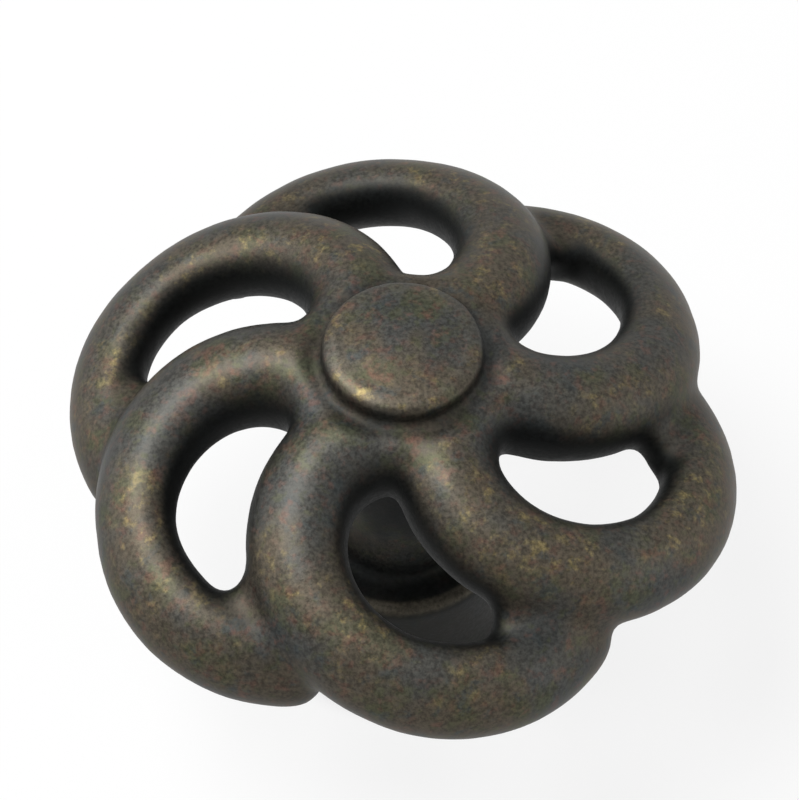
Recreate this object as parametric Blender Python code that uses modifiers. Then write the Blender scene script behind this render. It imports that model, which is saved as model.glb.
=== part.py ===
"""A swirl cabinet knob, cast in one piece.

Six arms wind out of a hub under a raised button, sweep down and round, and each one dies into the flank of
the next. A turned neck and a drum foot carry the hub, and a blind hole in the foot takes the mounting screw.

Lengths are in metres, +Z is up along the knob's axis, and the origin is the middle of the foot's underside.
"""

from math import cos, hypot, pi, radians, sin, sqrt, tan

import bmesh
import bpy
from mathutils import Matrix, Vector

MM = 0.001

# Overall size
KNOB_DIAMETER = 38.0 * MM
RIM_HEIGHT = 25.0 * MM  # the button's rim above the foot's underside

# Button on the hub
BUTTON_DIAMETER = 8.8 * MM
BUTTON_STAND = 1.35 * MM  # the rim above the hub's flat top
BUTTON_CROWN = 0.35 * MM  # the middle above the rim
BUTTON_EDGE_WIDTH = 1.2 * MM  # the oval rounding between the crown and the button's side
BUTTON_EDGE_HEIGHT = 0.5 * MM
GROOVE_WIDTH = 1.0 * MM  # the hollow round the button's foot
GROOVE_DEPTH = 0.4 * MM

# Hub, neck and foot
HUB_DIAMETER = 13.5 * MM
HUB_FLAT_SHARE = 0.73  # how much of the hub's width its flat top takes up
HUB_SHOULDER = 2.6 * MM  # height of the hub's rounded upper edge
HUB_BELLY = 2.1 * MM  # height of the rounded edge under it
NECK_DIAMETER = 8.0 * MM
NECK_COVE_RADIUS = 1.2 * MM
FOOT_DIAMETER = 12.7 * MM
FOOT_HEIGHT = 7.45 * MM
FOOT_EDGE_RADIUS = 0.45 * MM
FOOT_CHAMFER = 0.25 * MM

# Mounting hole in the foot, drilled for an 8-32 thread
TAP_DIAMETER = 3.5 * MM
TAP_DEPTH = 13.0 * MM
TAP_MOUTH_DIAMETER = 4.8 * MM
DRILL_POINT_ANGLE = radians(118)

# Arms: each follows an opening spiral about a point outside the hub
ARM_COUNT = 6
FIRST_ARM_ANGLE = radians(-22)  # where the first arm's spiral is centred, seen from above
SPIRAL_START_RADIUS = 5.4 * MM
SPIRAL_END_RADIUS = 9.3 * MM
SPIRAL_BOW = 0.3 * MM  # how much further out the spiral swings halfway along
SPIRAL_START_ANGLE = radians(-159)
SPIRAL_END_ANGLE = radians(72)
ARM_ROOT_DROP = 4.15 * MM  # the arm's centre line below the button's rim, at the hub
ARM_TAIL_DROP = 9.6 * MM  # the same where the arm runs level round the outside
ARM_FALL_SHARE = 0.945  # how much of its run the arm takes to reach its lowest point
ARM_TAPER_SHARE = 0.59  # how much of its run it takes to thin out
ARM_ROOT_WIDTH = 5.9 * MM
ARM_TAIL_WIDTH = 5.45 * MM
ARM_ROOT_THICKNESS = 6.3 * MM
ARM_TAIL_THICKNESS = 3.75 * MM
ARM_LEAN = radians(60)  # how far the tail's oval section leans down the outside; the root's lies level

# Fineness of the casting
ARM_STATIONS = 44
SECTION_SIDES = 24
TIP_SHARE = 0.2  # how much of its section a tail keeps at the very tip, where the loft is closed
TURNED_STEPS = 56
ARC_STEPS = 4
CAST_GRAIN = 0.42 * MM  # size of the facets that the cast surface is drawn from
BLEND_STRENGTH = 0.5
BLEND_REACH = 0.66 * MM  # how far the smoothing reaches that fillets the places where arms meet
BLEND_LOSS = 0.07 * MM  # what that smoothing takes off an arm's surface
CAGE_TRIANGLES = 8800
JOIN_OVERLAP = 1.0 * MM  # how deep pieces that are joined reach into each other
AXIS_WELD = 0.01 * MM
OFFSET_ROUNDS = 12  # rounds in which the spirals' offset settles

HUB_TOP = RIM_HEIGHT - BUTTON_STAND
HUB_EDGE_HEIGHT = HUB_TOP - HUB_SHOULDER
HUB_UNDERSIDE = HUB_EDGE_HEIGHT - HUB_BELLY


def clear_scene():
    for thing in list(bpy.data.objects):
        bpy.data.objects.remove(thing, do_unlink=True)


def collection(name):
    group = bpy.data.collections.new(name)
    bpy.context.scene.collection.children.link(group)
    return group


def antique_brass():
    """Dark browned brass with a satin surface."""
    material = bpy.data.materials.new("antique_brass")
    material.use_nodes = True
    shader = material.node_tree.nodes["Principled BSDF"]
    shader.inputs["Base Color"].default_value = (0.12, 0.10, 0.07, 1)
    shader.inputs["Metallic"].default_value = 0.9
    shader.inputs["Roughness"].default_value = 0.42
    material.diffuse_color = (0.12, 0.10, 0.07, 1)
    return material


def arc(centre, radii, start, end):
    """Points along a quarter or other stretch of an oval, given by its centre, two radii and two angles."""
    angles = [start + (end - start) * step / ARC_STEPS for step in range(ARC_STEPS + 1)]
    return [(centre[0] + radii[0] * cos(a), centre[1] + radii[1] * sin(a)) for a in angles]


def turned(name, outline, group):
    """A solid of revolution about Z from (radius, height) points that run down its outer side."""
    mesh = bpy.data.meshes.new(name)
    points = [(radius, 0, height) for radius, height in outline]
    mesh.from_pydata(points, [(i, i + 1) for i in range(len(points) - 1)], [])
    piece = bpy.data.objects.new(name, mesh)
    group.objects.link(piece)
    turn = piece.modifiers.new("turn", "SCREW")
    turn.angle = 2 * pi
    turn.steps = turn.render_steps = TURNED_STEPS
    turn.use_merge_vertices = True
    turn.merge_threshold = AXIS_WELD
    return piece


def evaluated_mesh(piece):
    """The piece's mesh with its modifiers worked in."""
    bpy.context.view_layer.update()
    seen = piece.evaluated_get(bpy.context.evaluated_depsgraph_get())
    return bpy.data.meshes.new_from_object(seen)


def boolean(piece, operation, tool):
    """Joins a tool to the piece, or cuts it out, and shows the tool only as a wire."""
    step = piece.modifiers.new(tool.name, "BOOLEAN")
    step.operation = operation
    step.object = tool
    step.solver = "EXACT"
    tool.hide_render = True
    tool.display_type = "WIRE"


def hub_and_neck(group):
    """The turned middle of the casting: a thick rounded disc on a neck that runs down into the foot."""
    neck, hub = NECK_DIAMETER / 2, HUB_DIAMETER / 2
    flat = hub * HUB_FLAT_SHARE
    inner = neck + NECK_COVE_RADIUS
    cove_bottom = HUB_UNDERSIDE - NECK_COVE_RADIUS
    outline = [(0, HUB_TOP), (flat, HUB_TOP)]
    outline += arc((flat, HUB_EDGE_HEIGHT), (hub - flat, HUB_SHOULDER), pi / 2, 0)[1:]
    outline += arc((inner, HUB_EDGE_HEIGHT), (hub - inner, HUB_BELLY), 0, -pi / 2)[1:]
    outline += arc((inner, cove_bottom), (NECK_COVE_RADIUS, NECK_COVE_RADIUS), pi / 2, pi)[1:]
    outline += [(neck, FOOT_HEIGHT - JOIN_OVERLAP), (0, FOOT_HEIGHT - JOIN_OVERLAP)]
    return turned("hub_and_neck", outline, group)


def button(group):
    """The raised disc in the middle, with a rounded edge and a low crown."""
    radius = BUTTON_DIAMETER / 2
    width, height = BUTTON_EDGE_WIDTH, BUTTON_EDGE_HEIGHT
    flat = radius - width
    # The crown is part of a sphere through the middle and the top of the rounded edge
    sphere = (flat * flat + BUTTON_CROWN * BUTTON_CROWN) / (2 * BUTTON_CROWN)
    crown = []
    for step in range(ARC_STEPS):
        reach = flat * step / ARC_STEPS
        crown.append((reach, RIM_HEIGHT + sqrt(sphere * sphere - reach * reach) - sphere + BUTTON_CROWN))
    outline = crown + arc((flat, RIM_HEIGHT - height), (width, height), pi / 2, 0)
    bottom = HUB_TOP - GROOVE_DEPTH - JOIN_OVERLAP
    outline += [(radius, bottom), (0, bottom)]
    return turned("button", outline, group)


def foot(group):
    """The drum that stands on the drawer front."""
    radius = FOOT_DIAMETER / 2
    edge = FOOT_EDGE_RADIUS
    outline = [(0, FOOT_HEIGHT)]
    outline += arc((radius - edge, FOOT_HEIGHT - edge), (edge, edge), pi / 2, 0)
    outline += [(radius, FOOT_CHAMFER), (radius - FOOT_CHAMFER, 0), (0, 0)]
    return turned("foot", outline, group)


def groove_cutter(group):
    """A half-round channel in the hub's top, close round the button."""
    centre = BUTTON_DIAMETER / 2 + GROOVE_WIDTH / 2 - GROOVE_DEPTH / 2
    above = HUB_TOP + JOIN_OVERLAP
    outline = [(centre + GROOVE_WIDTH / 2, above)]
    outline += arc((centre, HUB_TOP), (GROOVE_WIDTH / 2, GROOVE_DEPTH), 0, -pi)
    outline += [(centre - GROOVE_WIDTH / 2, above), (centre + GROOVE_WIDTH / 2, above)]
    return turned("groove_cutter", outline, group)


def hole_cutter(group):
    """The blind mounting hole with its drilled point and its widened mouth."""
    radius, mouth = TAP_DIAMETER / 2, TAP_MOUTH_DIAMETER / 2
    widening = mouth - radius
    below = -JOIN_OVERLAP
    point = TAP_DEPTH + radius / tan(DRILL_POINT_ANGLE / 2)
    outline = [(0, point), (radius, TAP_DEPTH), (radius, widening), (mouth, 0), (mouth, below), (0, below)]
    return turned("hole_cutter", outline, group)


def spiral_point(run):
    """A point on the arm's plan about the spiral's own centre; run is 0 at the hub and 1 at the tail."""
    angle = SPIRAL_START_ANGLE + (SPIRAL_END_ANGLE - SPIRAL_START_ANGLE) * run
    radius = SPIRAL_START_RADIUS + (SPIRAL_END_RADIUS - SPIRAL_START_RADIUS) * run
    radius += SPIRAL_BOW * sin(pi * run)
    return radius * cos(angle), radius * sin(angle)


def spiral_offset():
    """How far the spirals' centres lie from the axis, so that the arms just reach the knob's diameter."""
    side = hypot(ARM_TAIL_WIDTH / 2 * cos(ARM_LEAN), ARM_TAIL_THICKNESS / 2 * sin(ARM_LEAN))
    wanted = KNOB_DIAMETER / 2 - side
    points = [spiral_point(station / ARM_STATIONS) for station in range(ARM_STATIONS + 1)]
    offset = wanted - SPIRAL_END_RADIUS
    for _ in range(OFFSET_ROUNDS):
        offset += wanted - max(hypot(offset + x, y) for x, y in points)
    return offset


SPIRAL_OFFSET = spiral_offset()


def arm_centre(run):
    """A point on the first arm's centre line, which falls from the hub along half a cosine wave."""
    x, y = spiral_point(run)
    fall = (1 - cos(pi * run / ARM_FALL_SHARE)) / 2
    drop = ARM_ROOT_DROP + (ARM_TAIL_DROP - ARM_ROOT_DROP) * fall
    flat = Vector((SPIRAL_OFFSET + x, y, RIM_HEIGHT - drop))
    return Matrix.Rotation(FIRST_ARM_ANGLE, 3, "Z") @ flat


def arm_taper(run):
    """How far the section has changed from the root's, 0, to the tail's, 1."""
    return min(run / ARM_TAPER_SHARE, 1)


def arm_section(run):
    """Half the arm's width and half its thickness, rounded off to nothing at the tail."""
    taper = arm_taper(run)
    width = ARM_ROOT_WIDTH + (ARM_TAIL_WIDTH - ARM_ROOT_WIDTH) * taper
    thickness = ARM_ROOT_THICKNESS + (ARM_TAIL_THICKNESS - ARM_ROOT_THICKNESS) * taper
    to_end = (arm_centre(1) - arm_centre(run)).length
    inside = max(0, 1 - to_end / (thickness / 2))
    rounding = max(sqrt(1 - inside * inside), TIP_SHARE)
    return (width / 2 + BLEND_LOSS) * rounding, (thickness / 2 + BLEND_LOSS) * rounding


def arm_ring(run):
    """The points round the arm at one station: an oval whose long axis leans out and down."""
    centre = arm_centre(run)
    step = 0.5 / ARM_STATIONS
    heading = (arm_centre(run + step) - arm_centre(run - step)).normalized()
    outward = Vector((centre.x, centre.y, 0)).normalized()
    lean = ARM_LEAN * arm_taper(run)
    long_axis = outward * cos(lean) - Vector((0, 0, sin(lean)))
    long_axis = (long_axis - heading * long_axis.dot(heading)).normalized()
    short_axis = heading.cross(long_axis)
    half_width, half_thickness = arm_section(run)
    ring = []
    for side in range(SECTION_SIDES):
        angle = 2 * pi * side / SECTION_SIDES
        ring.append(centre + long_axis * half_width * cos(angle) + short_axis * half_thickness * sin(angle))
    return ring


def arm(name):
    """One arm lofted through its stations, closed at both ends."""
    shape = bmesh.new()
    rings = []
    for station in range(ARM_STATIONS + 1):
        rings.append([shape.verts.new(point) for point in arm_ring(station / ARM_STATIONS)])
    for near, far in zip(rings, rings[1:]):
        for side in range(SECTION_SIDES):
            following = (side + 1) % SECTION_SIDES
            shape.faces.new((near[side], near[following], far[following], far[side]))
    shape.faces.new(reversed(rings[0]))
    shape.faces.new(rings[-1])
    bmesh.ops.recalc_face_normals(shape, faces=shape.faces)
    mesh = bpy.data.meshes.new(name)
    shape.to_mesh(mesh)
    shape.free()
    return mesh


def skin(piece, name):
    """Draws one even skin over everything in the piece."""
    step = piece.modifiers.new(name, "REMESH")
    step.mode = "VOXEL"
    step.voxel_size = CAST_GRAIN


def cage(group):
    """The hub, the neck and the arms drawn as one skin, with soft fillets where they meet."""
    middle = hub_and_neck(group)
    shape = bmesh.new()
    shape.from_mesh(evaluated_mesh(middle))
    bpy.data.objects.remove(middle)
    arm_mesh = arm("arm")
    for turn in range(ARM_COUNT):
        copy = arm_mesh.copy()
        copy.transform(Matrix.Rotation(2 * pi * turn / ARM_COUNT, 4, "Z"))
        shape.from_mesh(copy)
    mesh = bpy.data.meshes.new("rough_cage")
    shape.to_mesh(mesh)
    shape.free()
    rough = bpy.data.objects.new("rough_cage", mesh)
    group.objects.link(rough)
    skin(rough, "joined")
    boolean(rough, "DIFFERENCE", groove_cutter(group))
    skin(rough, "grooved")
    blend = rough.modifiers.new("blend", "SMOOTH")
    blend.factor = BLEND_STRENGTH
    blend.iterations = round((2 * BLEND_REACH / CAST_GRAIN) ** 2)
    fine = evaluated_mesh(rough)
    bpy.data.objects.remove(rough)
    return fine


def triangle_count(mesh):
    return sum(len(face.vertices) - 2 for face in mesh.polygons)


def knob(parts, tools):
    """The whole casting."""
    mesh = cage(tools)
    mesh.name = "knob"
    piece = bpy.data.objects.new("knob", mesh)
    parts.objects.link(piece)
    thin = piece.modifiers.new("fewer_facets", "DECIMATE")
    thin.ratio = CAGE_TRIANGLES / triangle_count(mesh)
    boolean(piece, "UNION", button(tools))
    boolean(piece, "UNION", foot(tools))
    boolean(piece, "DIFFERENCE", hole_cutter(tools))
    mesh.materials.clear()
    mesh.materials.append(antique_brass())
    mesh.shade_smooth()
    return piece


def main():
    clear_scene()
    parts = collection("swirl_cabinet_knob")
    tools = collection("cutters")
    knob(parts, tools)


main()
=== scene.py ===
"""The looks of a swirl cabinet knob: a finer casting, the thread in its hole, a patina and a studio.

Everything is in metres in the frame of the solids, with +Z up along the knob's axis. The casting is built by
the solids' own rules on a finer grain. How far each of its points stands proud and how much of the sky the
casting shuts off from it are then measured on the mesh. Both measures rub the patina and lay painted shade,
partly dark patina, into it; the foot's upper edge gets a painted highlight.
"""

from math import cos, hypot, pi, radians, sin, sqrt, tan

import bmesh
import bpy
import numpy as np
from mathutils import Matrix, Vector, noise
from mathutils.bvhtree import BVHTree

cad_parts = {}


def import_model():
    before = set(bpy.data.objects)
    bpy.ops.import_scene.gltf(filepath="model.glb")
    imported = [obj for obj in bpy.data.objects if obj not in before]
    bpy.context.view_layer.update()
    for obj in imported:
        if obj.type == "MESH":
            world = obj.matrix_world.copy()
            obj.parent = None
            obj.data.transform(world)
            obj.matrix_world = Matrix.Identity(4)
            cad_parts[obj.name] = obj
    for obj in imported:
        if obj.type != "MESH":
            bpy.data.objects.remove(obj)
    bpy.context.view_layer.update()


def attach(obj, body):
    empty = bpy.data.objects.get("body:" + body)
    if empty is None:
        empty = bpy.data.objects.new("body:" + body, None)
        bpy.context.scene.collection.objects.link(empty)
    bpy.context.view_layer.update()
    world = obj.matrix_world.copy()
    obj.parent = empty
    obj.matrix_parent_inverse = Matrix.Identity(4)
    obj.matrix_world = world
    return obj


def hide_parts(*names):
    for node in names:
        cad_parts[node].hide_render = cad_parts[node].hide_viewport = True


MM = 0.001

# Overall size, as in the solids
KNOB_DIAMETER = 38.0 * MM
RIM_HEIGHT = 25.0 * MM  # the button's rim above the foot's underside

# Button on the hub, as in the solids but for the groove's depth
BUTTON_DIAMETER = 8.8 * MM
BUTTON_STAND = 1.35 * MM  # the rim above the hub's flat top
BUTTON_CROWN = 0.35 * MM  # the middle above the rim
BUTTON_EDGE_WIDTH = 1.2 * MM  # the oval rounding between the crown and the button's side
BUTTON_EDGE_HEIGHT = 0.5 * MM
GROOVE_WIDTH = 1.0 * MM  # the hollow round the button's foot
GROOVE_DEPTH = 0.25 * MM  # 0.15 mm less than in the solids, to suit the photograph

# Hub, neck and foot, as in the solids
HUB_DIAMETER = 13.5 * MM
HUB_FLAT_SHARE = 0.73  # how much of the hub's width its flat top takes up
HUB_SHOULDER = 2.6 * MM  # height of the hub's rounded upper edge
HUB_BELLY = 2.1 * MM  # height of the rounded edge under it
NECK_DIAMETER = 8.0 * MM
NECK_COVE_RADIUS = 1.2 * MM
FOOT_DIAMETER = 12.7 * MM
FOOT_HEIGHT = 7.45 * MM
FOOT_EDGE_RADIUS = 0.45 * MM
FOOT_CHAMFER = 0.25 * MM

# Mounting hole in the foot, as wide as its thread needs
TAP_DEPTH = 13.0 * MM
TAP_MOUTH_DIAMETER = 4.8 * MM
DRILL_POINT_ANGLE = radians(118)

# The 8-32 thread, which the solids leave out: a ridge with a blunt top
THREAD_OUTER_DIAMETER = 4.17 * MM
THREAD_INNER_DIAMETER = 3.5 * MM
THREAD_PITCH = 25.4 * MM / 32
THREAD_ROOT_HALF = 0.45 * THREAD_PITCH  # half the ridge's height at the wall
THREAD_CREST_HALF = 0.09 * THREAD_PITCH  # and at its top
THREAD_START = 0.9 * MM
THREAD_TURNS = 14
THREAD_STEPS = 48  # a turn
THREAD_GROWTH_STEPS = 24  # in which the ridge rises out of the wall at either end
THREAD_SEAT = 0.05 * MM  # how deep the ridge is let into the hole's wall

# Arms, as in the solids but for ARM_END: each follows an opening spiral about a point outside the hub
ARM_COUNT = 6
FIRST_ARM_ANGLE = radians(-22)  # where the first arm's spiral is centred, seen from above
SPIRAL_START_RADIUS = 5.4 * MM
SPIRAL_END_RADIUS = 9.3 * MM
SPIRAL_BOW = 0.3 * MM  # how much further out the spiral swings halfway along
SPIRAL_START_ANGLE = radians(-159)
SPIRAL_END_ANGLE = radians(72)
ARM_ROOT_DROP = 4.15 * MM  # the arm's centre line below the button's rim, at the hub
ARM_TAIL_DROP = 9.6 * MM  # the same where the arm runs level round the outside
ARM_FALL_SHARE = 0.945  # how much of its run the arm takes to reach its lowest point
ARM_TAPER_SHARE = 0.59  # how much of its run it takes to thin out
ARM_ROOT_WIDTH = 5.9 * MM
ARM_TAIL_WIDTH = 5.45 * MM
ARM_ROOT_THICKNESS = 6.3 * MM
ARM_TAIL_THICKNESS = 3.75 * MM
ARM_LEAN = radians(60)  # how far the tail's oval section leans down the outside; the root's lies level
ARM_END = 0.99  # the tails stop just short of the solids' tails, so that their tips stay behind the next arm

# Webs: a little metal in the sharp end of each opening, where a tail runs into the next arm
WEB_ANGLE = radians(15.8)  # on from the angle where an arm's spiral is centred
WEB_REACH = 14.12 * MM  # from the knob's axis
WEB_DROP = 8.1 * MM  # below the button's rim
WEB_WIDTH = 1.7 * MM
WEB_HEIGHT = 4.2 * MM
WEB_SOFT_REACH = 1.3 * MM  # how far the extra smoothing there reaches
WEB_SOFT_INNER = 1.3 * MM  # within this distance it works in full
WEB_SOFT_OUTER = 2.8 * MM  # and beyond this one not at all

# Fineness of the casting
ARM_STATIONS = 110
SECTION_SIDES = 48
TIP_SHARE = 0.2  # how much of its section a tail keeps at the very tip, where the loft is closed
TURNED_STEPS = 160
ARC_STEPS = 10
WEB_SUBDIVISIONS = 3
CAST_GRAIN = 0.245 * MM  # size of the facets that the cast surface is drawn from
BLEND_STRENGTH = 0.5
FILLET_REACH = 0.66 * MM  # how far the smoothing reaches that fillets the places where arms meet
EDGE_REACH = 0.2 * MM  # the same for the soft edges of the button and the foot
BLEND_LOSS = 0.07 * MM  # what the fillets' smoothing takes off an arm's surface
HOLE_LOSS = 0.1 * MM  # what the smoothing takes off the hole's radius
JOIN_OVERLAP = 1.0 * MM  # how deep pieces that are joined reach into each other
AXIS_WELD = 0.01 * MM
OFFSET_ROUNDS = 12  # rounds in which the spirals' offset settles

# Unevenness of the cast surface
WAVE_LENGTH = 1.7 * MM
WAVE_HEIGHT = 0.022 * MM
GRAIN_LENGTH = 0.6 * MM
GRAIN_HEIGHT = 0.006 * MM
STILL_BELOW = 0.6 * MM  # the foot's face stays flat

# What is measured on the casting for its patina and its painted shade
RELIEF_ROUNDS = 40  # of softening, for the surface that a point's relief is measured from
RELIEF_FULL = 0.3 * MM  # relief that counts as a full ridge
RELIEF_SOFTENING = 3
SHELTER_RAYS = 22
SHELTER_REACH = 11 * MM
SHELTER_LIFT = 0.1 * MM  # above the surface, where the rays start
SHELTER_SOFTENING = 4

# Colours of the patina, and of its painted shade and painted highlight
# painted shade, partly dark patina: the near-black laid where the sky is shut off, in hollows and low on the
# neck and foot
PAINTED_SHADE_AND_DARK_PATINA = (0.004, 0.005, 0.005, 1)
PATINA_GREY = (0.050, 0.051, 0.048, 1)
PATINA_BROWN = (0.070, 0.058, 0.042, 1)
PATINA_OLIVE = (0.056, 0.061, 0.031, 1)
PATINA_BLUE = (0.036, 0.045, 0.047, 1)
PATINA_RED = (0.115, 0.054, 0.041, 1)
# rubbed brass, also laid along the foot's upper edge as a painted highlight
WORN_BRASS_AND_LIP_HIGHLIGHT = (0.120, 0.106, 0.080, 1)
BRIGHT_BRASS = (0.235, 0.185, 0.075, 1)

# Clouds of noise: size in millimetres, detail, roughness, and an offset that sets each apart from the others
BROAD = (5.0, 3.0, 0.5, 0.0)
PATCHES = (2.4, 4.0, 0.6, 31.0)
BLOTCHES = (1.1, 3.0, 0.6, 7.0)
FLECKS = (1.0, 3.0, 0.6, 91.0)
SPECKS = (0.85, 4.0, 0.65, 57.0)
TINT = (0.6, 2.0, 0.5, 44.0)
FINE = (0.24, 3.0, 0.65, 3.0)
PITS = (0.16, 3.0, 0.6, 12.0)

# Where each layer of the patina, its painted shade and its painted highlight lies: the range of a noise or
# measure, and the layer's share at its two ends
BROWN_CLOUDS = (0.4, 0.6, 0.0, 1.0)
OLIVE_PATCHES = (0.5, 0.66, 0.0, 0.7)
BLUE_BLOTCHES = (0.54, 0.7, 0.0, 0.65)
OLIVE_TINT = (0.56, 0.74, 0.0, 0.5)
RED_TINT = (0.46, 0.26, 0.0, 0.4)
FACING_UP = (0.1, 0.95, 0.0, 1.0)
RIDGES = (0.15, 0.95, 0.0, 1.0)
UNEVEN_RUBBING = (0.3, 0.7, 0.45, 1.0)
RUBBED_SHARE = 0.35
# Painted shade, partly dark patina: in hollows, where the casting shuts off the sky, and low down under the
# arms
HOLLOW_PAINTED_SHADE_AND_PATINA = (0.1, -0.6, 0.0, 0.3)
SHUT_OFF_PAINTED_SHADE_AND_PATINA = (-0.1, 0.38, 0.0, 0.97)
NECK_AND_FOOT_PAINTED_SHADE = (11.5, 8.0, 0.0, 0.9)  # heights in millimetres, below which painted shade, partly unrubbed patina, darkens the neck and foot
RED_FLECKS = (0.5, 0.7, 0.0, 1.0)
RED_PATCHES = (0.42, 0.6, 0.0, 0.6)
GOLDEN_SPECKS = (0.51, 0.72, 0.0, 0.75)
GOLDEN_CLOUDS = (0.42, 0.62, 0.0, 1.0)
GOLDEN_RIDGES = (0.0, 0.7, 0.0, 1.0)
LIP_HIGHLIGHT_RIDGE = (0.4, 0.85, 0.0, 1.0)
LIP_HIGHLIGHT_HEIGHTS = (9.5, 8.0, 0.0, 0.5)  # in millimetres: a painted highlight along the foot's upper edge
SPECKLE = (0.25, 0.75, 0.56, 1.44)  # how much the finest noise darkens and lightens the colour

# Sheen of the patina
METAL_SHARE = 0.85
ROUGHNESS = (0.3, 0.7, 0.42, 0.54)  # the range of the finest noise, and the roughness at its two ends
RUBBED_GLOSS = 0.06  # less roughness where rubbed
SHELTERED_DULLNESS = 0.15  # more where sheltered
PIT_STRENGTH = 0.35
PIT_DEPTH = 0.03 * MM

# Floor and surroundings: a glow of 1 is pure white
WHITE = (1, 1, 1, 1)
FLOOR_HALF = 1.5  # half the floor's side
FLOOR_COOL = (0.92, 0.925, 0.93, 1)
FLOOR_PLAIN = (0.94, 0.94, 0.94, 1)
FLOOR_CLOUD_SCALE = 30.0
FLOOR_ROUGHNESS = 0.9
FLOOR_SPECULAR = 0.1
FOOT_GLOW = 0.3
FLOOR_GLOW = 0.85
GLOW_ROUND_FOOT = (6.5 * MM, 9.5 * MM, FOOT_GLOW, FLOOR_GLOW)  # distances from the axis, and the glow there
GLOW_FURTHER_OFF = (30 * MM, 200 * MM, 0.0, 1 - FLOOR_GLOW)  # the same, added to it
AMBIENT = 0.12  # how strongly the white surroundings light the scene

# Lamps: name, azimuth from +X towards +Y, elevation, size and power
LAMP_DISTANCE = 0.9
LAMPS = (
    ("key", radians(173), radians(62), 0.56, 9.0),
    ("side", radians(175), radians(8), 0.6, 2.8),
    ("other_side", radians(-15), radians(10), 0.6, 1.8),
)

# Camera, at the photograph's viewing angle
CAMERA_ELEVATION = 0.9674  # radians above the floor
CAMERA_ROLL = 0.0139
CAMERA_TARGET = Vector((-0.132, 2.214, 16.35)) * MM
CAMERA_DISTANCE = 240 * MM
CAMERA_LENS = 193.06  # millimetres, as is the sensor's height
CAMERA_SENSOR = 36.0
CLIP_START = 0.01
CLIP_END = 20

HOLE_RADIUS = THREAD_OUTER_DIAMETER / 2 + HOLE_LOSS
HUB_TOP = RIM_HEIGHT - BUTTON_STAND
HUB_EDGE_HEIGHT = HUB_TOP - HUB_SHOULDER
HUB_UNDERSIDE = HUB_EDGE_HEIGHT - HUB_BELLY


def arc(centre, radii, start, end):
    """Points along a quarter or other stretch of an oval, given by its centre, two radii and two angles."""
    angles = [start + (end - start) * step / ARC_STEPS for step in range(ARC_STEPS + 1)]
    return [(centre[0] + radii[0] * cos(a), centre[1] + radii[1] * sin(a)) for a in angles]


def add_object(name, data):
    piece = bpy.data.objects.new(name, data)
    bpy.context.scene.collection.objects.link(piece)
    return piece


def settled(piece):
    """Takes the piece out of the scene and gives its mesh with the modifiers worked in."""
    bpy.context.view_layer.update()
    seen = piece.evaluated_get(bpy.context.evaluated_depsgraph_get())
    mesh = bpy.data.meshes.new_from_object(seen)
    bpy.data.objects.remove(piece)
    return mesh


def finished(shape, name):
    """Turns a bmesh into a mesh and frees it."""
    mesh = bpy.data.meshes.new(name)
    shape.to_mesh(mesh)
    shape.free()
    return mesh


def turned(name, outline):
    """A solid of revolution about Z from (radius, height) points that run down its outer side."""
    mesh = bpy.data.meshes.new(name)
    points = [(radius, 0, height) for radius, height in outline]
    mesh.from_pydata(points, [(i, i + 1) for i in range(len(points) - 1)], [])
    piece = add_object(name, mesh)
    turn = piece.modifiers.new("turn", "SCREW")
    turn.steps = turn.render_steps = TURNED_STEPS
    turn.use_merge_vertices = True
    turn.merge_threshold = AXIS_WELD
    return settled(piece)


def lofted(name, rings):
    """A closed skin drawn through rings of points that all have the same number, with a cap at each end."""
    shape = bmesh.new()
    loops = [[shape.verts.new(point) for point in ring] for ring in rings]
    for near, far in zip(loops, loops[1:]):
        for side in range(len(near)):
            following = (side + 1) % len(near)
            shape.faces.new((near[side], near[following], far[following], far[side]))
    shape.faces.new(reversed(loops[0]))
    shape.faces.new(loops[-1])
    bmesh.ops.recalc_face_normals(shape, faces=shape.faces)
    return finished(shape, name)


def joined(meshes):
    shape = bmesh.new()
    for mesh in meshes:
        shape.from_mesh(mesh)
    return finished(shape, "joined")


def skinned(mesh):
    """One even skin drawn over everything in the mesh."""
    piece = add_object("skinned", mesh)
    step = piece.modifiers.new("skin", "REMESH")
    step.mode = "VOXEL"
    step.voxel_size = CAST_GRAIN
    return settled(piece)


def smoothed(mesh, reach, weights=None):
    """The mesh softened over a given distance, which takes the same form at any fineness.

    The weights, where given, say how much of the softening each point gets.
    """
    piece = add_object("smoothed", mesh)
    step = piece.modifiers.new("smooth", "SMOOTH")
    step.factor = BLEND_STRENGTH
    step.iterations = round((2 * reach / CAST_GRAIN) ** 2)
    if weights is not None:
        group = piece.vertex_groups.new(name="soft")
        step.vertex_group = group.name
        for index in np.flatnonzero(weights):
            group.add([int(index)], float(weights[index]), "REPLACE")
    return settled(piece)


def hub_and_neck():
    """The turned core of the casting, with the mounting hole in it."""
    neck, hub = NECK_DIAMETER / 2, HUB_DIAMETER / 2
    flat = hub * HUB_FLAT_SHARE
    inner = neck + NECK_COVE_RADIUS
    outline = [(0, HUB_TOP), (flat, HUB_TOP)]
    outline += arc((flat, HUB_EDGE_HEIGHT), (hub - flat, HUB_SHOULDER), pi / 2, 0)[1:]
    outline += arc((inner, HUB_EDGE_HEIGHT), (hub - inner, HUB_BELLY), 0, -pi / 2)[1:]
    cove_bottom = HUB_UNDERSIDE - NECK_COVE_RADIUS
    outline += arc((inner, cove_bottom), (NECK_COVE_RADIUS, NECK_COVE_RADIUS), pi / 2, pi)[1:]
    outline += [(neck, FOOT_HEIGHT - JOIN_OVERLAP), (HOLE_RADIUS, FOOT_HEIGHT - JOIN_OVERLAP)]
    outline += [(HOLE_RADIUS, TAP_DEPTH), (0, TAP_DEPTH + HOLE_RADIUS / tan(DRILL_POINT_ANGLE / 2))]
    return turned("hub_and_neck", outline)


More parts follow.
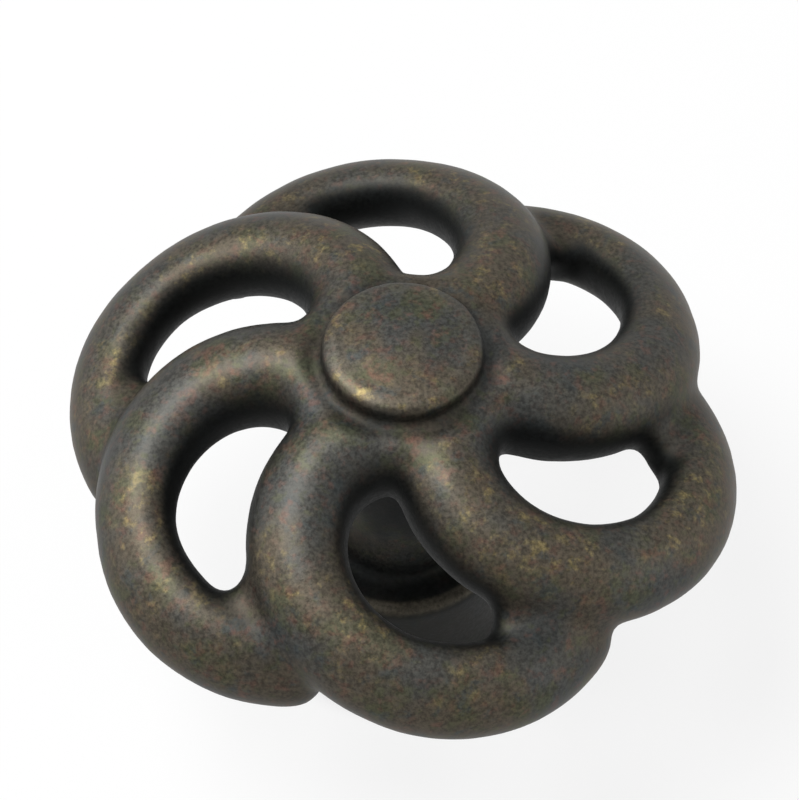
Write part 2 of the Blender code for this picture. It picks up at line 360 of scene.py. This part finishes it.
def button():
    """The low crown in the middle of the hub, down to below the groove."""
    radius, width, height = BUTTON_DIAMETER / 2, BUTTON_EDGE_WIDTH, BUTTON_EDGE_HEIGHT
    flat = radius - width
    sphere = (flat * flat + BUTTON_CROWN * BUTTON_CROWN) / (2 * BUTTON_CROWN)
    crown = []
    for step in range(ARC_STEPS):
        reach = flat * step / ARC_STEPS
        crown.append((reach, RIM_HEIGHT + sqrt(sphere * sphere - reach * reach) - sphere + BUTTON_CROWN))
    bottom = HUB_TOP - GROOVE_DEPTH - JOIN_OVERLAP
    outline = crown + arc((flat, RIM_HEIGHT - height), (width, height), pi / 2, 0)
    return turned("button", outline + [(radius, bottom), (0, bottom)])


def foot():
    """The drum, with the mounting hole right through it."""
    radius, edge, mouth = FOOT_DIAMETER / 2, FOOT_EDGE_RADIUS, TAP_MOUTH_DIAMETER / 2
    outline = [(HOLE_RADIUS, FOOT_HEIGHT)]
    outline += arc((radius - edge, FOOT_HEIGHT - edge), (edge, edge), pi / 2, 0)
    outline += [(radius, FOOT_CHAMFER), (radius - FOOT_CHAMFER, 0)]
    outline += [(mouth, 0), (HOLE_RADIUS, mouth - HOLE_RADIUS), (HOLE_RADIUS, FOOT_HEIGHT)]
    return turned("foot", outline)


def spiral_point(run):
    """A point of the spiral about its own centre; run goes from 0 at the hub to 1 at the tail."""
    angle = SPIRAL_START_ANGLE + (SPIRAL_END_ANGLE - SPIRAL_START_ANGLE) * run
    radius = SPIRAL_START_RADIUS + (SPIRAL_END_RADIUS - SPIRAL_START_RADIUS) * run
    radius += SPIRAL_BOW * sin(pi * run)
    return radius * cos(angle), radius * sin(angle)


def spiral_offset():
    """How far outside the axis the spirals are centred for the knob to have its diameter."""
    side = hypot(ARM_TAIL_WIDTH / 2 * cos(ARM_LEAN), ARM_TAIL_THICKNESS / 2 * sin(ARM_LEAN))
    wanted = KNOB_DIAMETER / 2 - side
    points = [spiral_point(station / ARM_STATIONS) for station in range(ARM_STATIONS + 1)]
    offset = wanted - SPIRAL_END_RADIUS
    for _ in range(OFFSET_ROUNDS):
        offset += wanted - max(hypot(offset + x, y) for x, y in points)
    return offset


SPIRAL_OFFSET = spiral_offset()


def arm_centre(run):
    """The arm's centre line, which falls away from the hub along a soft wave."""
    x, y = spiral_point(run)
    fall = (1 - cos(pi * run / ARM_FALL_SHARE)) / 2
    drop = ARM_ROOT_DROP + (ARM_TAIL_DROP - ARM_ROOT_DROP) * fall
    return Matrix.Rotation(FIRST_ARM_ANGLE, 3, "Z") @ Vector((SPIRAL_OFFSET + x, y, RIM_HEIGHT - drop))


def arm_taper(run):
    return min(run / ARM_TAPER_SHARE, 1)


def arm_section(run):
    """Half the arm's width and half its thickness, which round off at the tail's tip."""
    taper = arm_taper(run)
    width = ARM_ROOT_WIDTH + (ARM_TAIL_WIDTH - ARM_ROOT_WIDTH) * taper
    thickness = ARM_ROOT_THICKNESS + (ARM_TAIL_THICKNESS - ARM_ROOT_THICKNESS) * taper
    inside = max(0, 1 - (arm_centre(ARM_END) - arm_centre(run)).length / (thickness / 2))
    rounding = max(sqrt(1 - inside * inside), TIP_SHARE)
    return (width / 2 + BLEND_LOSS) * rounding, (thickness / 2 + BLEND_LOSS) * rounding


def arm_ring(run):
    """The points round the arm at one station: an oval whose long axis leans out and down."""
    centre = arm_centre(run)
    step = 0.5 / ARM_STATIONS
    heading = (arm_centre(run + step) - arm_centre(run - step)).normalized()
    outward = Vector((centre.x, centre.y, 0)).normalized()
    lean = ARM_LEAN * arm_taper(run)
    long_axis = outward * cos(lean) - Vector((0, 0, sin(lean)))
    long_axis = (long_axis - heading * long_axis.dot(heading)).normalized()
    short_axis = heading.cross(long_axis)
    half_width, half_thickness = arm_section(run)
    ring = []
    for side in range(SECTION_SIDES):
        angle = 2 * pi * side / SECTION_SIDES
        ring.append(centre + long_axis * half_width * cos(angle) + short_axis * half_thickness * sin(angle))
    return ring


def arms():
    stations = range(ARM_STATIONS + 1)
    first = lofted("arm", [arm_ring(ARM_END * station / ARM_STATIONS) for station in stations])
    copies = []
    for turn in range(ARM_COUNT):
        copy = first.copy()
        copy.transform(Matrix.Rotation(2 * pi * turn / ARM_COUNT, 4, "Z"))
        copies.append(copy)
    return copies


def web_places():
    """The middle of the sharp end of each opening."""
    angles = [FIRST_ARM_ANGLE + WEB_ANGLE + 2 * pi * turn / ARM_COUNT for turn in range(ARM_COUNT)]
    return [Vector((WEB_REACH * cos(a), WEB_REACH * sin(a), RIM_HEIGHT - WEB_DROP)) for a in angles]


def webs():
    """An upright egg of metal in the sharp end of each opening, let into the arms round it."""
    size = Matrix.Diagonal((WEB_WIDTH / 2, WEB_WIDTH / 2, WEB_HEIGHT / 2, 1))
    meshes = []
    for place in web_places():
        shape = bmesh.new()
        stretch = Matrix.Translation(place) @ size
        bmesh.ops.create_icosphere(shape, subdivisions=WEB_SUBDIVISIONS, radius=1, matrix=stretch)
        meshes.append(finished(shape, "web"))
    return meshes


def web_weights(mesh):
    """1 for each point close to the sharp end of an opening, running out to 0 further off."""
    places = point_rows(mesh, "co")
    nearest = np.min([np.linalg.norm(places - np.array(place), axis=1) for place in web_places()], axis=0)
    share = np.clip((WEB_SOFT_OUTER - nearest) / (WEB_SOFT_OUTER - WEB_SOFT_INNER), 0, 1)
    return share * share * (3 - 2 * share)


def cut_groove(mesh):
    """Presses the half-round channel round the button into the mesh from above."""
    half = GROOVE_WIDTH / 2
    centre = BUTTON_DIAMETER / 2 + half - GROOVE_DEPTH / 2
    for vertex in mesh.vertices:
        across = (hypot(vertex.co.x, vertex.co.y) - centre) / half
        if abs(across) < 1 and vertex.co.z > HUB_EDGE_HEIGHT:
            vertex.co.z = min(vertex.co.z, HUB_TOP - GROOVE_DEPTH * sqrt(1 - across * across))


def point_rows(mesh, name):
    """Every point's place or normal, one row a point."""
    flat = np.zeros(len(mesh.vertices) * 3)
    mesh.vertices.foreach_get(name, flat)
    return flat.reshape(-1, 3)


def edge_rows(mesh):
    """The two points of every edge, one row an edge."""
    flat = np.zeros(len(mesh.edges) * 2, int)
    mesh.edges.foreach_get("vertices", flat)
    return flat.reshape(-1, 2)


def spread(values, edges, rounds):
    """Gives each point the mean of its neighbours' values, round after round; one row a point."""
    here = np.concatenate((edges[:, 0], edges[:, 1]))
    there = np.concatenate((edges[:, 1], edges[:, 0]))
    count = np.maximum(np.bincount(here, minlength=len(values)), 1)
    for _ in range(rounds):
        sums = [np.bincount(here, weights=column[there], minlength=len(values)) for column in values.T]
        values = np.stack(sums, axis=1) / count[:, None]
    return values


def store(mesh, name, values):
    layer = mesh.attributes.new(name, "FLOAT", "POINT")
    layer.data.foreach_set("value", values.ravel())


def roughen(mesh):
    """Moves each point a little along its normal, as the surface of a tumbled casting has it."""
    places, normals = point_rows(mesh, "co"), point_rows(mesh, "normal")
    heights = np.zeros(len(places))
    for index, place in enumerate(places):
        if place[2] > STILL_BELOW:
            wave = noise.noise(Vector(place / WAVE_LENGTH)) * WAVE_HEIGHT
            heights[index] = wave + noise.noise(Vector(place / GRAIN_LENGTH)) * GRAIN_HEIGHT
    mesh.vertices.foreach_set("co", (places + normals * heights[:, None]).ravel())
    mesh.update()


def mark_relief(mesh):
    """Stores how far each point stands out of the surface round it, from -1 in a hollow to 1 on a ridge."""
    places, normals, edges = point_rows(mesh, "co"), point_rows(mesh, "normal"), edge_rows(mesh)
    proud = ((places - spread(places, edges, RELIEF_ROUNDS)) * normals).sum(axis=1, keepdims=True)
    store(mesh, "relief", np.clip(spread(proud / RELIEF_FULL, edges, RELIEF_SOFTENING), -1, 1))


def sky_directions():
    """Directions spread over the half sphere round +Z, denser towards +Z as light falls on a flat face."""
    golden_angle = pi * (3 - sqrt(5))
    directions = []
    for index in range(SHELTER_RAYS):
        angle = golden_angle * index
        lift = sqrt(1 - (index + 0.5) / SHELTER_RAYS)
        reach = sqrt(1 - lift * lift)
        directions.append(Vector((reach * cos(angle), reach * sin(angle), lift)))
    return directions


def mark_shelter(mesh):
    """Stores how much of the sky over each point is shut off by the casting close by, from 0 to 1."""
    places, normals = point_rows(mesh, "co"), point_rows(mesh, "normal")
    faces = [face.vertices[:] for face in mesh.polygons]
    tree = BVHTree.FromPolygons([Vector(place) for place in places], faces)
    sky = sky_directions()
    shelter = np.zeros((len(places), 1))
    for index, (place, normal) in enumerate(zip(places, normals)):
        up = Vector(normal)
        turn = up.to_track_quat("Z", "Y")
        start = Vector(place) + up * SHELTER_LIFT
        hits = [tree.ray_cast(start, turn @ direction, SHELTER_REACH)[0] for direction in sky]
        shelter[index] = sum(hit is not None for hit in hits) / SHELTER_RAYS
    store(mesh, "shelter", spread(shelter, edge_rows(mesh), SHELTER_SOFTENING))


def casting():
    """The whole knob but its thread, in one skin with what the patina and its painted shade need stored on
    its points.
    """
    rough = skinned(joined([hub_and_neck()] + arms() + webs()))
    cut_groove(rough)
    cage = smoothed(rough, FILLET_REACH)
    cage = smoothed(cage, WEB_SOFT_REACH, web_weights(cage))
    whole = smoothed(skinned(joined([cage, button(), foot()])), EDGE_REACH)
    roughen(whole)
    mark_relief(whole)
    mark_shelter(whole)
    whole.shade_smooth()
    return add_object("casting", whole)


def thread():
    """The screw thread in the hole, a ridge that winds up the wall."""
    wall, crest = THREAD_OUTER_DIAMETER / 2 + THREAD_SEAT, THREAD_INNER_DIAMETER / 2
    profile = [(wall, -THREAD_ROOT_HALF), (crest, -THREAD_CREST_HALF)]
    profile += [(crest, THREAD_CREST_HALF), (wall, THREAD_ROOT_HALF)]
    last = THREAD_TURNS * THREAD_STEPS
    rings = []
    for step in range(last + 1):
        angle = 2 * pi * step / THREAD_STEPS
        height = THREAD_START + THREAD_PITCH * step / THREAD_STEPS
        grown = min(1, min(step, last - step) / THREAD_GROWTH_STEPS)
        ring = []
        for radius, rise in profile:
            reach = wall + (radius - wall) * grown
            ring.append((reach * cos(angle), reach * sin(angle), height + rise))
        rings.append(ring)
    return add_object("thread", lofted("thread", rings))


class Nodes:
    """A short way to lay out the nodes of a material or of the world."""

    def __init__(self, owner):
        owner.use_nodes = True
        self.tree = owner.node_tree

    def add(self, kind, inputs=(), **settings):
        node = self.tree.nodes.new(kind)
        for name, value in settings.items():
            setattr(node, name, value)
        for socket, value in dict(inputs).items():
            self.put(node.inputs[socket], value)
        return node

    def put(self, socket, value):
        """Links the socket to another node's output, or sets it to a plain value."""
        if isinstance(value, bpy.types.NodeSocket):
            self.tree.links.new(value, socket)
        else:
            socket.default_value = value

    def maths(self, operation, first, second):
        return self.add("ShaderNodeMath", inputs={0: first, 1: second}, operation=operation).outputs[0]

    def product(self, first, *others):
        for other in others:
            first = self.maths("MULTIPLY", first, other)
        return first

    def scaled(self, vector, factor):
        return self.add("ShaderNodeVectorMath", inputs={0: vector, 3: factor}, operation="SCALE").outputs[0]

    def up(self, vector):
        return self.add("ShaderNodeSeparateXYZ", inputs={0: vector}).outputs["Z"]

    def span(self, value, low, high, bottom, top):
        """The value from low to high, drawn out to run softly from bottom to top."""
        numbers = dict(enumerate((value, low, high, bottom, top)))
        return self.add("ShaderNodeMapRange", inputs=numbers, interpolation_type="SMOOTHSTEP").outputs[0]

    def mix(self, share, first, second):
        """The first colour with a share of the second in it.

        The node has sockets called A and B for each kind of value, and those for colours are numbers 6 and 7.
        """
        return self.add("ShaderNodeMix", inputs={0: share, 6: first, 7: second}, data_type="RGBA").outputs[2]

    def noise(self, place, size, detail, roughness, offset):
        """Cloudy noise from 0 to 1 whose lumps have about the given size."""
        shift = self.add("ShaderNodeVectorMath", inputs={0: place, 1: (offset,) * 3}, operation="ADD")
        inputs = {"Vector": shift.outputs[0], "Scale": 1 / size, "Detail": detail, "Roughness": roughness}
        return self.add("ShaderNodeTexNoise", inputs=inputs).outputs[0]


def antique_brass():
    """Browned brass, rubbed on its ridges, with golden and red patches, painted shade (partly dark patina)
    where sheltered and low, and a painted highlight on the foot's edge.
    """
    material = bpy.data.materials.new("antique_brass_with_painted_shade")
    nodes = Nodes(material)
    shader = nodes.tree.nodes["Principled BSDF"]
    millimetres = nodes.scaled(nodes.add("ShaderNodeTexCoord").outputs["Object"], 1 / MM)
    height = nodes.up(millimetres)
    relief = nodes.add("ShaderNodeAttribute", attribute_name="relief").outputs["Fac"]
    shelter = nodes.add("ShaderNodeAttribute", attribute_name="shelter").outputs["Fac"]
    facing_up = nodes.span(nodes.up(nodes.add("ShaderNodeNewGeometry").outputs["Normal"]), *FACING_UP)
    broad = nodes.noise(millimetres, *BROAD)
    patches = nodes.noise(millimetres, *PATCHES)
    tint = nodes.noise(millimetres, *TINT)
    fine = nodes.noise(millimetres, *FINE)

    # The browned surface
    colour = nodes.mix(nodes.span(broad, *BROWN_CLOUDS), PATINA_GREY, PATINA_BROWN)
    colour = nodes.mix(nodes.span(patches, *OLIVE_PATCHES), colour, PATINA_OLIVE)
    blotches = nodes.span(nodes.noise(millimetres, *BLOTCHES), *BLUE_BLOTCHES)
    colour = nodes.mix(blotches, colour, PATINA_BLUE)
    colour = nodes.mix(nodes.span(tint, *OLIVE_TINT), colour, PATINA_OLIVE)
    colour = nodes.mix(nodes.span(tint, *RED_TINT), colour, PATINA_RED)

    # Rubbed on ridges, and darkened with painted shade, partly dark patina, where sheltered, in hollows and
    # low down
    rubbed = nodes.product(nodes.span(relief, *RIDGES), facing_up, nodes.span(patches, *UNEVEN_RUBBING))
    colour = nodes.mix(nodes.product(rubbed, RUBBED_SHARE), colour, WORN_BRASS_AND_LIP_HIGHLIGHT)
    closed = nodes.maths("MAXIMUM", nodes.span(relief, *HOLLOW_PAINTED_SHADE_AND_PATINA), nodes.span(shelter, *SHUT_OFF_PAINTED_SHADE_AND_PATINA))
    painted_shade_and_patina = nodes.maths("MAXIMUM", closed, nodes.span(height, *NECK_AND_FOOT_PAINTED_SHADE))
    colour = nodes.mix(painted_shade_and_patina, colour, PAINTED_SHADE_AND_DARK_PATINA)

    # Red and golden patches where hands reach, and a painted highlight along the foot's upper edge
    handled = nodes.product(facing_up, nodes.maths("SUBTRACT", 1.0, painted_shade_and_patina))
    flecks = nodes.span(nodes.noise(millimetres, *FLECKS), *RED_FLECKS)
    colour = nodes.mix(nodes.product(flecks, nodes.span(patches, *RED_PATCHES), handled), colour, PATINA_RED)
    specks = nodes.span(nodes.noise(millimetres, *SPECKS), *GOLDEN_SPECKS)
    golden = nodes.product(nodes.span(broad, *GOLDEN_CLOUDS), nodes.span(relief, *GOLDEN_RIDGES), handled)
    colour = nodes.mix(nodes.product(specks, golden), colour, BRIGHT_BRASS)
    lip_highlight = nodes.product(nodes.span(relief, *LIP_HIGHLIGHT_RIDGE), nodes.span(height, *LIP_HIGHLIGHT_HEIGHTS), facing_up)
    colour = nodes.mix(lip_highlight, colour, WORN_BRASS_AND_LIP_HIGHLIGHT)
    nodes.put(shader.inputs["Base Color"], nodes.scaled(colour, nodes.span(fine, *SPECKLE)))

    # Sheen and pits
    rough = nodes.maths("SUBTRACT", nodes.span(fine, *ROUGHNESS), nodes.product(rubbed, RUBBED_GLOSS))
    rough = nodes.maths("ADD", rough, nodes.product(painted_shade_and_patina, SHELTERED_DULLNESS))
    nodes.put(shader.inputs["Roughness"], rough)
    shader.inputs["Metallic"].default_value = METAL_SHARE
    pits = {"Height": nodes.noise(millimetres, *PITS), "Strength": PIT_STRENGTH, "Distance": PIT_DEPTH}
    nodes.put(shader.inputs["Normal"], nodes.add("ShaderNodeBump", inputs=pits).outputs[0])
    return material


def shown(nodes):
    """1 for what the camera sees itself, in a reflection or through glass, and 0 for scattered light."""
    paths = nodes.add("ShaderNodeLightPath").outputs
    seen = nodes.maths("MAXIMUM", paths["Is Camera Ray"], paths["Is Glossy Ray"])
    return nodes.maths("MAXIMUM", seen, paths["Is Transmission Ray"])


def floor():
    """A plain white ground that keeps the knob's shadow close by and runs out to pure white further off."""
    corners = [(-FLOOR_HALF, -FLOOR_HALF, 0), (FLOOR_HALF, -FLOOR_HALF, 0)]
    corners += [(FLOOR_HALF, FLOOR_HALF, 0), (-FLOOR_HALF, FLOOR_HALF, 0)]
    mesh = bpy.data.meshes.new("floor")
    mesh.from_pydata(corners, [], [(0, 1, 2, 3)])
    material = bpy.data.materials.new("floor_white")
    mesh.materials.append(material)

    nodes = Nodes(material)
    shader = nodes.tree.nodes["Principled BSDF"]
    place = nodes.add("ShaderNodeTexCoord").outputs["Object"]
    cloud = nodes.add("ShaderNodeTexNoise", inputs={"Vector": place, "Scale": FLOOR_CLOUD_SCALE}).outputs[0]
    nodes.put(shader.inputs["Base Color"], nodes.mix(cloud, FLOOR_COOL, FLOOR_PLAIN))
    shader.inputs["Roughness"].default_value = FLOOR_ROUGHNESS
    shader.inputs["Specular IOR Level"].default_value = FLOOR_SPECULAR

    away = nodes.add("ShaderNodeVectorMath", inputs={0: place}, operation="LENGTH").outputs["Value"]
    share = nodes.maths("ADD", nodes.span(away, *GLOW_ROUND_FOOT), nodes.span(away, *GLOW_FURTHER_OFF))
    glow = nodes.add("ShaderNodeEmission", inputs={"Color": WHITE, "Strength": 1.0}).outputs[0]
    inputs = {0: nodes.product(shown(nodes), share), 1: shader.outputs[0], 2: glow}
    blend = nodes.add("ShaderNodeMixShader", inputs=inputs).outputs[0]
    nodes.put(nodes.tree.nodes["Material Output"].inputs["Surface"], blend)
    return add_object("floor", mesh)


def lamp(name, azimuth, elevation, size, power):
    """A square soft light that looks at the knob."""
    data = bpy.data.lights.new(name, "AREA")
    data.shape = "SQUARE"
    data.size = size
    data.energy = power
    light = add_object(name, data)
    way = Vector((cos(elevation) * cos(azimuth), cos(elevation) * sin(azimuth), sin(elevation)))
    light.location = CAMERA_TARGET + way * LAMP_DISTANCE
    light.rotation_euler = way.to_track_quat("Z", "Y").to_euler()


def world():
    """White surroundings, which light the scene itself only dimly."""
    surroundings = bpy.data.worlds.new("studio")
    nodes = Nodes(surroundings)
    background = nodes.tree.nodes["Background"]
    background.inputs["Color"].default_value = WHITE
    nodes.put(background.inputs["Strength"], nodes.span(shown(nodes), 0.0, 1.0, AMBIENT, 1.0))
    bpy.context.scene.world = surroundings


def camera():
    """Looks down at the knob from the front, turned a little about its own line of sight."""
    back = Vector((0, -cos(CAMERA_ELEVATION), sin(CAMERA_ELEVATION)))
    right = Vector((1, 0, 0))
    up = back.cross(right)
    across = right * cos(CAMERA_ROLL) + up * sin(CAMERA_ROLL)
    upright = up * cos(CAMERA_ROLL) - right * sin(CAMERA_ROLL)
    data = bpy.data.cameras.new("camera")
    data.sensor_fit = "VERTICAL"
    data.sensor_height = CAMERA_SENSOR
    data.lens = CAMERA_LENS
    data.clip_start = CLIP_START
    data.clip_end = CLIP_END
    piece = add_object("camera", data)
    turn = Matrix((across, upright, back)).transposed().to_4x4()
    piece.matrix_world = Matrix.Translation(CAMERA_TARGET + back * CAMERA_DISTANCE) @ turn
    bpy.context.scene.camera = piece


def main():
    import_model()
    patina = antique_brass()
    for piece in (casting(), thread()):
        piece.data.materials.clear()
        piece.data.materials.append(patina)
        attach(piece, "root")
        if piece.name == "casting":
            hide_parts("knob")
    floor()
    for settings in LAMPS:
        lamp(*settings)
    world()
    camera()
    bpy.context.scene.view_settings.view_transform = "Standard"


main()
